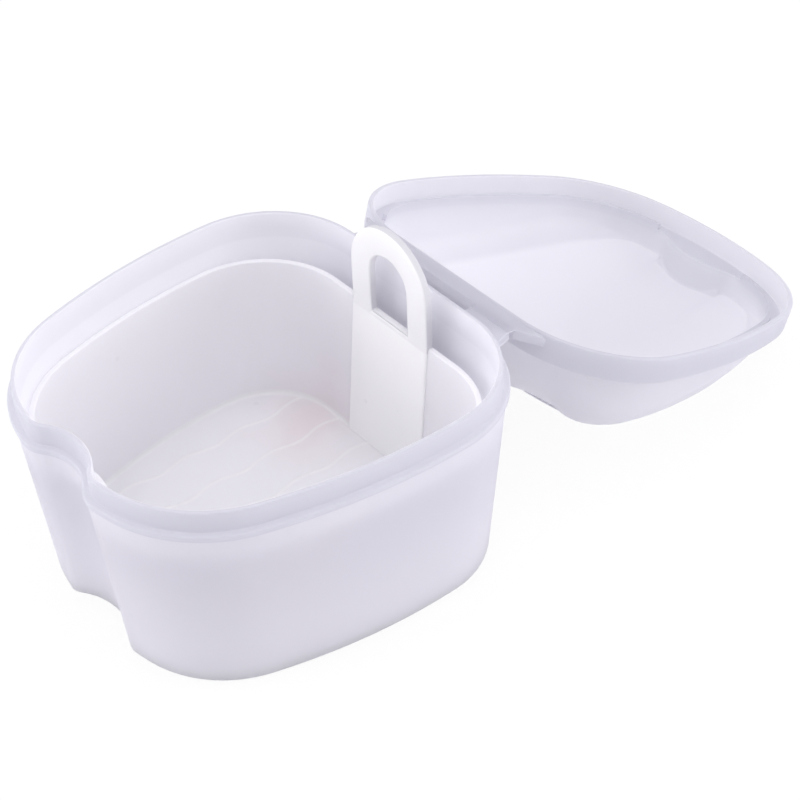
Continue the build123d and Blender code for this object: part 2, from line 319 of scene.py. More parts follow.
def right_half_arcs(shoulder_radius, back_shift):
    """Centre, radius, start, end and sense of each arc, in tangent order from the front."""
    mirror_front = (-FRONT_CORNER[0], FRONT_CORNER[1])
    mirror_back = (-BACK_CORNER[0], BACK_CORNER[1])
    front, front_radius = arc_through(mirror_front, FRONT_CORNER, FRONT_BULGE)
    side, side_radius = arc_through(FRONT_CORNER, BACK_CORNER, SIDE_BULGE)
    back, back_radius = arc_through(BACK_CORNER, mirror_back, BACK_BULGE)
    back = (back[0], back[1] - back_shift)
    turn_front = meeting_point(
        front, front_radius - FRONT_CORNER_RADIUS,
        side, side_radius - FRONT_CORNER_RADIUS, FRONT_CORNER,
    )
    turn_back = meeting_point(
        side, side_radius - BACK_CORNER_RADIUS,
        back, back_radius - BACK_CORNER_RADIUS, BACK_CORNER,
    )
    arcs = []
    front_start = -math.pi / 2
    if shoulder_radius:
        hollow = (0, LIP_FRONT_Y + NOTCH_DEPTH - NOTCH_RADIUS)
        shoulder = meeting_point(
            front, front_radius - shoulder_radius,
            hollow, NOTCH_RADIUS + shoulder_radius, (NOTCH_RADIUS, LIP_FRONT_Y),
        )
        to_hollow = direction(shoulder, hollow)
        front_start = direction(front, shoulder)
        arcs.append((hollow, NOTCH_RADIUS, math.pi / 2, direction(hollow, shoulder), -1))
        arcs.append((shoulder, shoulder_radius, to_hollow, front_start, 1))
    front_end = direction(front, turn_front)
    side_start = direction(side, turn_front)
    side_end = direction(side, turn_back)
    back_start = direction(back, turn_back)
    arcs.append((front, front_radius, front_start, front_end, 1))
    arcs.append((turn_front, FRONT_CORNER_RADIUS, front_end, side_start, 1))
    arcs.append((side, side_radius, side_start, side_end, 1))
    arcs.append((turn_back, BACK_CORNER_RADIUS, side_end, back_start, 1))
    arcs.append((back, back_radius, back_start, math.pi / 2, 1))
    return arcs


def plan(grow, shoulder_radius=0.0, back_shift=0.0):
    """The outline, grown outwards, as points from the front centre round by the right."""
    arcs = right_half_arcs(shoulder_radius, back_shift)
    front_steps = NOTCH_STEPS if shoulder_radius else (sum(NOTCH_STEPS),)
    right = []
    for (centre, radius, start, end, sense), steps in zip(arcs, front_steps + HALF_STEPS):
        reach = radius + sense * grow
        for step in range(steps):
            right.append(polar(centre, reach, start + (end - start) * step / steps))
    right.append((0.0, arcs[-1][0][1] + arcs[-1][1] + grow))
    return right + [(-x, y) for x, y in reversed(right[1:-1])]


def tub_ring(grow, level):
    return [Vector((x, y, level)) for x, y in plan(grow, TUB_SHOULDER)]


def plain_ring(grow, level):
    return [Vector((x, y, level)) for x, y in plan(grow)]


def dome_ring(grow, level):
    return [Vector((x, y, level)) for x, y in plan(grow, INNER_SHOULDER)]


def basket_ring(grow, level):
    return [Vector((x, y, level)) for x, y in plan(grow, INNER_SHOULDER, BASKET_BACK_SHIFT)]


def rounded(corners, steps=4):
    """A profile of (offset, height) points whose corners (offset, height, radius) are arcs."""
    points = [Vector(corners[0][:2])]
    for before, corner, after in zip(corners, corners[1:], corners[2:]):
        place = Vector(corner[:2])
        radius = corner[2]
        if not radius:
            points.append(place)
            continue
        back = (Vector(before[:2]) - place).normalized()
        ahead = (Vector(after[:2]) - place).normalized()
        half = back.angle(ahead) / 2
        centre = place + (back + ahead).normalized() * radius / math.sin(half)
        start = (place + back * radius / math.tan(half) - centre).normalized()
        end = (place + ahead * radius / math.tan(half) - centre).normalized()
        points.extend(
            centre + start.slerp(end, step / steps) * radius for step in range(steps + 1)
        )
    points.append(Vector(corners[-1][:2]))
    return points


# Meshes


def finish_piece(bm, name, body, nodes, material, smooth_angle=38.0):
    """Makes the bmesh an object at the origin that rides on a body in place of CAD nodes."""
    bmesh.ops.remove_doubles(bm, verts=bm.verts, dist=0.002 * MM)
    bmesh.ops.recalc_face_normals(bm, faces=bm.faces)
    mesh = bpy.data.meshes.new(name)
    bm.to_mesh(mesh)
    bm.free()
    mesh.shade_smooth()
    mesh.set_sharp_from_angle(angle=math.radians(smooth_angle))
    mesh.materials.append(material)
    piece = bpy.data.objects.new(name, mesh)
    bpy.context.scene.collection.objects.link(piece)
    if body:
        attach(piece, body)
    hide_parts(*nodes)
    return piece


def shell(rings, pole_start=None, pole_end=None):
    """Extrudes a closed loop from ring to ring, then closes each end flat or at a pole."""
    bm = bmesh.new()
    loop = [bm.verts.new(point) for point in rings[0]]
    edges = [bm.edges.new(pair) for pair in zip(loop, loop[1:] + loop[:1])]
    first_edges = edges
    first_loop = loop
    for ring in rings[1:]:
        made = bmesh.ops.extrude_edge_only(bm, edges=edges)["geom"]
        fresh = {item for item in made if isinstance(item, bmesh.types.BMVert)}
        next_loop = []
        for old in loop:
            next_loop.append(next(
                edge.other_vert(old) for edge in old.link_edges if edge.other_vert(old) in fresh
            ))
        for vert, point in zip(next_loop, ring):
            vert.co = point
        edges = [
            bm.edges.get(pair) for pair in zip(next_loop, next_loop[1:] + next_loop[:1])
        ]
        loop = next_loop
    for pole, end_edges, end_loop in (
        (pole_start, first_edges, first_loop), (pole_end, edges, loop),
    ):
        if pole is None:
            bmesh.ops.contextual_create(bm, geom=end_edges)
        else:
            bmesh.ops.pointmerge(bm, verts=end_loop, merge_co=pole)
    bmesh.ops.recalc_face_normals(bm, faces=bm.faces)
    return bm


def plate(x_inner, x_outer, flare, root_y, low, high):
    """A flat hinge plate from the wall to the end face by the hinge line, edges eased."""
    bm = bmesh.new()
    corners = (
        (x_inner, root_y), (x_outer + flare, root_y),
        (x_outer, PLATE_END_Y), (x_inner, PLATE_END_Y),
    )
    foot = bm.faces.new([bm.verts.new((x, y, low)) for x, y in corners])
    made = bmesh.ops.extrude_face_region(bm, geom=[foot])["geom"]
    top = [item for item in made if isinstance(item, bmesh.types.BMVert)]
    bmesh.ops.translate(bm, verts=top, vec=(0, 0, high - low))
    bmesh.ops.recalc_face_normals(bm, faces=bm.faces)
    bmesh.ops.bevel(
        bm, geom=bm.edges, offset=PLATE_EDGE, offset_type="OFFSET", segments=3,
        profile=0.5, affect="EDGES", clamp_overlap=True, material=-1,
    )
    return bm


def united(bm, others):
    """The bmesh joined with others into one closed shell by a boolean union."""
    mesh = bpy.data.meshes.new("joined")
    bm.to_mesh(mesh)
    bm.free()
    base = bpy.data.objects.new("joined", mesh)
    bpy.context.scene.collection.objects.link(base)
    helpers = []
    for other in others:
        other_mesh = bpy.data.meshes.new("helper")
        other.to_mesh(other_mesh)
        other.free()
        helper = bpy.data.objects.new("helper", other_mesh)
        bpy.context.scene.collection.objects.link(helper)
        union = base.modifiers.new("union", "BOOLEAN")
        union.operation = "UNION"
        union.solver = "EXACT"
        union.object = helper
        helpers.append(helper)
    graph = bpy.context.evaluated_depsgraph_get()
    graph.update()
    whole = bmesh.new()
    whole.from_mesh(base.evaluated_get(graph).to_mesh())
    for thing in (base, *helpers):
        bpy.data.objects.remove(thing)
    return whole


def crown_level(x, y, radius):
    """Height of the sphere of that radius over a point of the plan."""
    middle = CROWN_TOP - CROWN_RADIUS
    return middle + math.sqrt(radius ** 2 - x ** 2 - (y - CROWN_CENTRE_Y) ** 2)


def eased(value, low, high):
    """0 below low and 1 above high, smooth between."""
    share = min(max((value - low) / (high - low), 0.0), 1.0)
    return share * share * (3 - 2 * share)


def shoulder_width(point, outward):
    """How wide the dome's rounded shoulder is at a point of its outline."""
    if point.y < 0:
        end = SHOULDER_FRONT
    else:
        spread = eased(abs(point.x), 0.0, SHOULDER_MIDDLE_HALF)
        end = SHOULDER_BACK + (SHOULDER_BACK_CORNER - SHOULDER_BACK) * spread
    return end + (SHOULDER_SIDE - end) * eased(abs(outward.x), 0.3, 0.99)


def dome_rings(foot_grow, foot_level, radius, wall):
    """Rings from the middle of a crown out over its rounded shoulder to the wall's foot."""
    base = [Vector(point) for point in plan(0.0, INNER_SHOULDER)]
    outward = [(Vector(point) - b) / MM for point, b in zip(plan(MM, INNER_SHOULDER), base)]
    widths = [shoulder_width(b, o.normalized()) - wall for b, o in zip(base, outward)]
    wall_grow = foot_grow - DOME_LEAN
    edge = [b + o * (wall_grow - width) for b, o, width in zip(base, outward, widths)]
    rings = []
    for step in range(1, CROWN_STEPS):
        share = step / CROWN_STEPS
        middle_y = CROWN_CENTRE_Y * (1 - share)
        ring = [(point.x * share, middle_y + point.y * share) for point in edge]
        rings.append([Vector((x, y, crown_level(x, y, radius))) for x, y in ring])
    for step in range(SHOULDER_STEPS + 1):
        turn = math.pi / 2 * step / SHOULDER_STEPS
        ring = []
        for start, out, width in zip(edge, outward, widths):
            flat = start + out * width * math.sin(turn) ** SHOULDER_CREASE
            drop = width * (1 - math.cos(turn) ** SHOULDER_CREASE)
            ring.append(Vector((*flat, crown_level(*start, radius) - drop)))
        rings.append(ring)
    rings.append(dome_ring(foot_grow, foot_level))
    return rings


def seal_rib():
    """The two stretches of low rib that hang from the lid's ceiling inside the lip."""
    outer = plain_ring(-LIP_WALL - RIB_TO_LIP, CEILING + LID_WALL / 2)
    inner = plain_ring(-LIP_WALL - RIB_TO_LIP - RIB_WALL, CEILING + LID_WALL / 2)
    ribs = []
    for side in (-1, 1):
        bm = bmesh.new()
        pairs = [
            (bm.verts.new(a), bm.verts.new(b)) for a, b in zip(outer, inner)
            if side * a.x > RIB_FRONT_HALF_GAP and a.y < RIB_BACK_LIMIT
        ]
        for (a, b), (c, d) in zip(pairs, pairs[1:]):
            bm.faces.new((a, b, d, c))
        made = bmesh.ops.extrude_face_region(bm, geom=bm.faces[:])["geom"]
        moved = [item for item in made if isinstance(item, bmesh.types.BMVert)]
        bmesh.ops.translate(bm, verts=moved, vec=(0, 0, -RIB_DROP - LID_WALL / 2))
        bmesh.ops.recalc_face_normals(bm, faces=bm.faces)
        ribs.append(bm)
    return ribs


def arch_points(half_width, straight, foot, y):
    """Points up one leg, round the arch and down the other leg, in a plane facing -Y."""
    left = [
        Vector((-half_width, y, foot + straight * step / HANDLE_LEG_STEPS))
        for step in range(HANDLE_LEG_STEPS)
    ]
    arc = []
    for step in range(HANDLE_ARC_STEPS + 1):
        turn = math.pi * (1 - step / HANDLE_ARC_STEPS)
        x, rise = polar((0, foot + straight), half_width, turn)
        arc.append(Vector((x, y, rise)))
    right = [Vector((-point.x, y, point.z)) for point in reversed(left)]
    return left + arc + right


# Materials


class Wire:
    """An output socket with arithmetic: an expression on wires adds its Math nodes."""

    def __init__(self, shader, socket):
        self.shader = shader
        self.socket = socket

    def math(self, operation, *others):
        values = dict(enumerate((self, *others)))
        return self.shader.node("ShaderNodeMath", {"operation": operation}, values)

    def __add__(self, other):
        return self.math("ADD", other)

    def __radd__(self, other):
        return self.math("ADD", other)

    def __sub__(self, other):
        return self.math("SUBTRACT", other)

    def __rsub__(self, other):
        return (self * -1.0).math("ADD", other)

    def __mul__(self, other):
        return self.math("MULTIPLY", other)

    def __rmul__(self, other):
        return self.math("MULTIPLY", other)


class Shader:
    """The node tree of a material or a world, filled by one method."""

    def __init__(self, owner):
        owner.use_nodes = True
        self.owner = owner
        self.tree = owner.node_tree
        self.tree.nodes.clear()

    def node(self, kind, settings=None, sockets=None, output=0):
        """Adds a node, sets its properties, fills its sockets and returns one output."""
        made = self.tree.nodes.new(kind)
        for key, value in (settings or {}).items():
            setattr(made, key, value)
        for key, value in (sockets or {}).items():
            if isinstance(value, Wire):
                self.tree.links.new(value.socket, made.inputs[key])
            else:
                made.inputs[key].default_value = value
        return Wire(self, made.outputs[output]) if made.outputs else None

    def mix(self, share, first, second):
        """Blends two colours by a wire or a number."""
        return self.node(
            "ShaderNodeMix", {"data_type": "RGBA"}, {0: share, 6: first, 7: second}, 2,
        )

    def band(self, value, low, high):
        """0 below low and 1 above high, smooth between."""
        return self.node(
            "ShaderNodeMapRange", {"interpolation_type": "SMOOTHSTEP"},
            {"Value": value, "From Min": low, "From Max": high},
        )


def milky_plastic(name, colours, passing, middle, up, rim_from, rim_to, marks=None):
    """Satin milky plastic whose colour and translucency change over the piece.

    Colours has foot, wall, inside, flat and rim; passing has wall, inside and rim. Levels
    count along up: the foot's colour turns into the wall's up to the rim, and the rim is
    the band between two levels. Inside faces look at the axis through middle, and flat
    faces look along up or down. These colours are painted light and shade: each region
    is made lighter or darker where light falls more or less. Marks adds its own colour
    and relief to the rest.
    """
    look = bpy.context.scene.denture_plastic
    shader = Shader(bpy.data.materials.new(name))
    place = shader.node("ShaderNodeTexCoord", output="Object")
    facing = shader.node("ShaderNodeTexCoord", output="Normal")
    level = shader.node(
        "ShaderNodeVectorMath", {"operation": "DOT_PRODUCT"}, {0: place, 1: up}, "Value",
    )
    # Painted light: the foot's colour fades into the wall's going up; on the tub the foot is
    # paler.
    tone_with_painted_light = shader.mix(
        shader.band(level, 0.0, rim_from), (*colours["foot"], 1.0), (*colours["wall"], 1.0),
    )
    clouds = shader.node(
        "ShaderNodeTexNoise", {}, {"Vector": place, "Scale": 22.0, "Detail": 3.0},
    )
    tone_with_painted_light = shader.mix(
        shader.band(clouds, 0.42, 0.72) * 0.25, tone_with_painted_light, (*look.warm_tint, 1.0),
    )
    above = shader.band(level, rim_from - 0.4 * MM, rim_from + 0.2 * MM)
    below = 1.0 - shader.band(level, rim_to - 0.2 * MM, rim_to + 0.6 * MM)
    from_middle = shader.node(
        "ShaderNodeVectorMath", {"operation": "SUBTRACT"}, {0: place, 1: middle},
    )
    beside = shader.node(
        "ShaderNodeVectorMath", {"operation": "PROJECT"}, {0: from_middle, 1: up},
    )
    spoke = shader.node(
        "ShaderNodeVectorMath", {"operation": "SUBTRACT"}, {0: from_middle, 1: beside},
    )
    spoke = shader.node("ShaderNodeVectorMath", {"operation": "NORMALIZE"}, {0: spoke})
    outward = shader.node(
        "ShaderNodeVectorMath", {"operation": "DOT_PRODUCT"}, {0: facing, 1: spoke}, "Value",
    )
    inward = 1.0 - shader.band(outward, -0.6, 0.0)
    upward = shader.node(
        "ShaderNodeVectorMath", {"operation": "DOT_PRODUCT"}, {0: facing, 1: up}, "Value",
    )
    flat = shader.band(upward.math("ABSOLUTE"), 0.8, 0.95)
    # The rim band, where the plastic is thick: it passes less light, and its darker colour is
    # painted shade.
    thick = above * below * (1.0 - inward * 0.8)
    # Painted light and shade: inward faces, faces looking along up or down, and the rim band each
    # get their own tone.
    tone_with_painted_light = shader.mix(inward, tone_with_painted_light, (*colours["inside"], 1.0))
    tone_with_painted_light = shader.mix(flat, tone_with_painted_light, (*colours["flat"], 1.0))
    tone_with_painted_light = shader.mix(thick, tone_with_painted_light, (*colours["rim"], 1.0))
    if marks:
        tone_with_painted_light, ribs = marks(shader, place, tone_with_painted_light)
    specks = shader.node(
        "ShaderNodeTexVoronoi", {"feature": "F1"}, {"Vector": place, "Scale": 75.0}, "Distance",
    )
    chosen = shader.node(
        "ShaderNodeTexNoise", {}, {"Vector": place, "Scale": 48.0, "Detail": 0.0},
    )
    scuffs = (1.0 - shader.band(specks, 0.03, 0.07)) * shader.band(chosen, 0.56, 0.6)
    worn_with_painted_light = shader.mix(scuffs * 0.12, tone_with_painted_light, (*look.scuff_colour, 1.0))
    ripples = shader.node(
        "ShaderNodeTexNoise", {},
        {"Vector": place, "Scale": 30.0, "Detail": 1.0, "Distortion": 0.6},
    )
    grain = shader.node(
        "ShaderNodeTexNoise", {}, {"Vector": place, "Scale": 1400.0, "Detail": 2.0},
    )
    relief = shader.node(
        "ShaderNodeBump", {}, {"Height": grain, "Strength": 0.12, "Distance": 0.02 * MM},
    )
    relief = shader.node(
        "ShaderNodeBump", {},
        {"Height": ripples, "Strength": 0.5, "Distance": 0.05 * MM, "Normal": relief},
    )
    if marks:
        relief = shader.node(
            "ShaderNodeBump", {},
            {"Height": ribs, "Strength": 0.7, "Distance": RIB_RELIEF, "Normal": relief},
        )
    rough = look.roughness + (grain - 0.5) * 0.12 + scuffs * 0.2
    surface = shader.node(
        "ShaderNodeBsdfPrincipled", {},
        {
            "Base Color": worn_with_painted_light, "Roughness": rough, "Normal": relief,
            "IOR": 1.49, "Specular IOR Level": 0.4,
        },
    )
    glow_colour = [math.sqrt(math.sqrt(part)) for part in colours["wall"]]
    glow = shader.node(
        "ShaderNodeBsdfTranslucent", {}, {"Color": (*glow_colour, 1.0), "Normal": relief},
    )
    more_inside = inward * (passing["inside"] - passing["wall"])
    more_rim = thick * (passing["rim"] - passing["wall"])
    share = more_inside + more_rim + passing["wall"]
    glowing = shader.node("ShaderNodeMixShader", {}, {0: share, 1: surface, 2: glow})
    shader.node("ShaderNodeOutputMaterial", {}, {"Surface": glowing})
    return shader.owner


def basket_floor(shader, place, colour):
    """The floor's wavy ribs, a painted highlight along its edge and its faint warm patch."""
    look = bpy.context.scene.denture_plastic
    across = shader.node("ShaderNodeSeparateXYZ", {}, {"Vector": place})
    along = shader.node("ShaderNodeSeparateXYZ", {}, {"Vector": place}, "Y")
    level = shader.node("ShaderNodeSeparateXYZ", {}, {"Vector": place}, "Z")
    on_floor = 1.0 - shader.band(level, BASKET_FLOOR_TOP + 0.1 * MM, BASKET_FLOOR_TOP + 0.5 * MM)
    sway = ((along - RIB_PHASE) * (math.tau / RIB_WAVE)).math("SINE") * RIB_SWAY
    place_in_row = ((across - sway) * (1 / RIB_SPACING)).math("FRACT")
    distance = (place_in_row - 0.5).math("ABSOLUTE") * RIB_SPACING
    ribs = (1.0 - shader.band(distance, RIB_INNER_HALF, RIB_OUTER_HALF)) * on_floor
    # Painted highlight: a pale band where the floor rounds up into the wall, mixed towards white.
    edge = shader.band(level, BASKET_FLOOR_TOP + 0.02 * MM, BASKET_FLOOR_TOP + 0.25 * MM)
    edge = edge * (1.0 - shader.band(level, BASKET_FLOOR_TOP + MM, BASKET_FLOOR_TOP + 1.6 * MM))
    away = shader.node(
        "ShaderNodeVectorMath", {"operation": "DISTANCE"}, {0: place, 1: WARM_PATCH}, "Value",
    )
    blotches = shader.node(
        "ShaderNodeTexNoise", {}, {"Vector": place, "Scale": 90.0, "Detail": 2.0},
    )
    frayed = away + (blotches - 0.5) * WARM_PATCH_FRAYING
    warm = 1.0 - shader.band(frayed, WARM_PATCH_CORE, WARM_PATCH_REACH)
    colour = shader.mix(warm * 0.75, colour, (*look.patch_colour, 1.0))
    colour = shader.mix(ribs * 0.8, colour, (*look.rib_colour, 1.0))
    # The painted highlight along the floor's edge is mixed in here.
    return shader.mix(edge * 0.7, colour, WHITE), ribs


def case_finish():
    """The tub's finish, with painted shade at its thick ledge and lip, which also let less light
    through, and painted light near its foot and on its inward faces, made once.
    """
    look = bpy.context.scene.denture_plastic
    return bpy.data.materials.get("tub_finish") or milky_plastic(
        "tub_finish",
        {
            "foot": look.foot_painted_light_colour, "wall": look.case_colour, "inside": look.inside_painted_light_colour,
            "flat": look.case_colour, "rim": look.rim_painted_shade_colour,
        },
        {"wall": look.case_passing, "inside": look.case_passing, "rim": look.rim_passing},
        (0.0, 0.0, 0.0), (0.0, 0.0, 1.0), LEDGE_UNDERSIDE, 2 * TUB_HIGH.z,
    )


def lid_finish():
    """The lid's finish, with painted shade round its thick skirt, which also lets less light
    through, painted shade on its inward walls and painted light on its crown.
    """
    look = bpy.context.scene.denture_plastic
    swing = Matrix.Rotation(-OPEN_ANGLE, 3, "X")
    up = swing @ Vector((0.0, 0.0, 1.0))
    offset = HINGE_LINE.dot(up) - HINGE_LINE.z
    return milky_plastic(
        "lid_finish",
        {
            "foot": look.case_colour, "wall": look.case_colour, "inside": look.lid_inside_painted_shade_colour,
            "flat": look.crown_painted_light_colour, "rim": look.rim_painted_shade_colour,
        },
        {"wall": look.case_passing, "inside": look.case_passing, "rim": look.rim_passing},
        HINGE_LINE - swing @ HINGE_LINE, up,
        offset + RIM_LEVEL - MM, offset + SHELF_TOP - 0.5 * MM,
    )


def basket_finish():
    """The basket's finish, whiter than the case, with the marks on its floor and a painted
    highlight along the floor's edge.
    """
    look = bpy.context.scene.denture_plastic
    return milky_plastic(
        "basket_finish",
        {
            "foot": look.basket_colour, "wall": look.basket_colour,
            "inside": look.basket_colour, "flat": look.basket_colour,
            "rim": look.basket_colour,
        },
        dict.fromkeys(("wall", "inside", "rim"), look.basket_passing),
        (0.0, 0.0, 0.0), (0.0, 0.0, 1.0), 2 * TUB_HIGH.z, 3 * TUB_HIGH.z, basket_floor,
    )


def handle_finish():
    """The handle's finish: lifted to white on the strip as painted light, and darkened on the
    arch as painted shade.
    """
    look = bpy.context.scene.denture_plastic
    return milky_plastic(
        "handle_finish",
        {
            "foot": look.strip_painted_light_colour, "wall": look.strip_painted_light_colour,
            "inside": look.strip_painted_light_colour, "flat": look.arch_painted_shade_colour,
            "rim": look.arch_painted_shade_colour,
        },
        {
            "wall": look.strip_passing, "inside": look.strip_passing,
            "rim": look.handle_passing,
        },
        (0.0, -1.0, 0.0), (0.0, 0.0, 1.0), BASKET_HIGH.z - MM, 2 * HANDLE_HIGH.z,
    )


# Operators


class DENTURE_OT_tub(bpy.types.Operator):
    """Build the tub with its lip, ledge, front notch and two hinge plates"""

    bl_idname = "denture.tub"
    bl_label = "Tub"

    def execute(self, context):
        edges = context.scene.denture_edges
        profile = rounded([
            (WALL_BASE_GROW - edges.base - SUPPORT, 0.0),
            (WALL_BASE_GROW, 0.0, edges.base),
            (WALL_TOP_GROW, LEDGE_UNDERSIDE, 0.2 * MM),
            (LEDGE_REACH, LEDGE_UNDERSIDE, 0.2 * MM),
            (LEDGE_REACH, LEDGE_TOP, edges.ledge),
            (0.0, LEDGE_TOP, 0.3 * MM),
            (0.0, TUB_HIGH.z, edges.lip),
            (-LIP_WALL, TUB_HIGH.z, edges.lip),
            (-LIP_WALL, LEDGE_TOP, 0.0),
            (CAVITY_FLOOR_GROW, TUB_FLOOR, 0.0),
            (CAVITY_FLOOR_GROW - SUPPORT, TUB_FLOOR),
        ])
        bm = shell([tub_ring(grow, level) for grow, level in profile])
        root_y = LIP_BACK_Y - LIP_WALL / 2
        plates = [
            plate(
                side * STRAP_LOW.x, side * STRAP_HIGH.x, side * PLATE_ROOT_FLARE,
                root_y, LEDGE_TOP - PLATE_THICKNESS, LEDGE_TOP,
            )
            for side in (-1, 1)
        ]
        bm = united(bm, plates)
        finish_piece(bm, "tub_shell", "tub", ["tub"], case_finish())
        return {"FINISHED"}


class DENTURE_OT_lid(bpy.types.Operator):
    """Build the domed lid shut over the tub, then swing it open about the hinge line"""

    bl_idname = "denture.lid"
    bl_label = "Lid"

    def execute(self, context):
        edges = context.scene.denture_edges
        rings = dome_rings(
            -DOME_INSET - LID_WALL, CEILING, CROWN_RADIUS - LID_WALL, LID_WALL,
        )
        skirt_top_grow = RIM_OVERHANG - (SHELF_TOP - RIM_LEVEL) * SKIRT_LEAN
        skirt = rounded([
            (-DOME_INSET - LID_WALL + SUPPORT, CEILING),
            (RIM_OVERHANG - RIM_WALL, CEILING, 0.3 * MM),
            (RIM_OVERHANG - RIM_WALL, RIM_LEVEL, 0.25 * MM),
            (RIM_OVERHANG, RIM_LEVEL, 0.35 * MM),
            (skirt_top_grow, SHELF_TOP, edges.skirt),
            (-DOME_INSET + SUPPORT, SHELF_TOP),
        ])
        rings.append(dome_ring(*skirt[0]))
        rings += [plain_ring(grow, level) for grow, level in skirt[1:-1]]
        rings.append(dome_ring(*skirt[-1]))
        rings += reversed(dome_rings(-DOME_INSET, SHELF_TOP, CROWN_RADIUS, 0.0))
        inner_pole = Vector((0, CROWN_CENTRE_Y, CROWN_TOP - LID_WALL))
        outer_pole = Vector((0, CROWN_CENTRE_Y, CROWN_TOP))
        bm = shell(
            [[inner_pole + (p - inner_pole) * POLE_SHARE for p in rings[0]], *rings,
             [outer_pole + (p - outer_pole) * POLE_SHARE for p in rings[-1]]],
            inner_pole, outer_pole,
        )
        lid_plate = plate(
            -STRAP_HIGH.x, STRAP_HIGH.x, LID_PLATE_FLARE, LIP_BACK_Y + RIM_WALL,
            RIM_LEVEL, RIM_LEVEL + PLATE_THICKNESS,
        )
        for vert in lid_plate.verts:
            if vert.co.x < 0 and vert.co.y < (LIP_BACK_Y + PLATE_END_Y) / 2:
                vert.co.x -= LID_PLATE_FLARE
        bm = united(bm, [lid_plate, *seal_rib()])
        bmesh.ops.rotate(
            bm, verts=bm.verts, cent=HINGE_LINE, matrix=Matrix.Rotation(-OPEN_ANGLE, 3, "X"),
        )
        finish_piece(bm, "lid_shell", "lid", ["lid"], lid_finish())
        return {"FINISHED"}


class DENTURE_OT_hinge(bpy.types.Operator):
    """Build the two thin straight films that span between the tub's and the lid's hinge plates"""

    bl_idname = "denture.hinge"
    bl_label = "Hinge films"

    def execute(self, context):
        swing = Matrix.Rotation(-OPEN_ANGLE, 3, "X")
        start = Vector((0, PLATE_END_Y, LEDGE_TOP))
        shut_end = Vector((0, PLATE_END_Y, RIM_LEVEL))
        end = HINGE_LINE + swing @ (shut_end - HINGE_LINE)
        along = (end - start).normalized()
        for side, name in ((-1, "left"), (1, "right")):
            bm = bmesh.new()
            x_inner, x_outer = side * STRAP_LOW.x, side * STRAP_HIGH.x
            first = start - along * FILM_REACH
            edge = bm.edges.new((
                bm.verts.new((x_inner, first.y, first.z)),
                bm.verts.new((x_outer, first.y, first.z)),
            ))
            span = (end - start).length + 2 * FILM_REACH
            edges = [edge]
            for _ in range(FILM_STEPS):
                made = bmesh.ops.extrude_edge_only(bm, edges=edges)["geom"]
                verts = [item for item in made if isinstance(item, bmesh.types.BMVert)]
                bmesh.ops.translate(bm, verts=verts, vec=along * span / FILM_STEPS)
                edges = [
                    item for item in made
                    if isinstance(item, bmesh.types.BMEdge) and set(item.verts) <= set(verts)
                ]
            bmesh.ops.recalc_face_normals(bm, faces=bm.faces)
            made = bmesh.ops.extrude_face_region(bm, geom=bm.faces[:])["geom"]
            verts = [item for item in made if isinstance(item, bmesh.types.BMVert)]
            bmesh.ops.translate(bm, verts=verts, vec=(0, 0, -FILM_THICKNESS))
            film = finish_piece(
                bm, f"hinge_film_{name}", None, [f"hinge_strap_{name}"],
                case_finish(),
            )
            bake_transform(film)
        return {"FINISHED"}


class DENTURE_OT_basket(bpy.types.Operator):
    """Build the lift-out basket"""

    bl_idname = "denture.basket"
    bl_label = "Basket"

    def execute(self, context):
        edges = context.scene.denture_edges
        base_grow = BASKET_RIM_GROW - (BASKET_HIGH.z - BASKET_LOW.z) * SLOPE
        inner_grow = BASKET_RIM_GROW - BASKET_RIM_WALL
        floor_grow = inner_grow - (BASKET_HIGH.z - BASKET_FLOOR_TOP) * SLOPE
        profile = rounded([
            (base_grow - 1.0 * MM, BASKET_LOW.z),
            (base_grow, BASKET_LOW.z, edges.basket_base),
            (BASKET_RIM_GROW, BASKET_HIGH.z, edges.basket_rim),
            (inner_grow, BASKET_HIGH.z, edges.basket_rim),
            (floor_grow, BASKET_FLOOR_TOP, edges.basket_floor),
            (floor_grow - edges.basket_floor - SUPPORT, BASKET_FLOOR_TOP),
        ])
        bm = shell([basket_ring(grow, level) for grow, level in profile])
        finish_piece(
            bm, "basket_shell", "basket", ["lift_out_basket"],
            basket_finish(),
        )
        return {"FINISHED"}


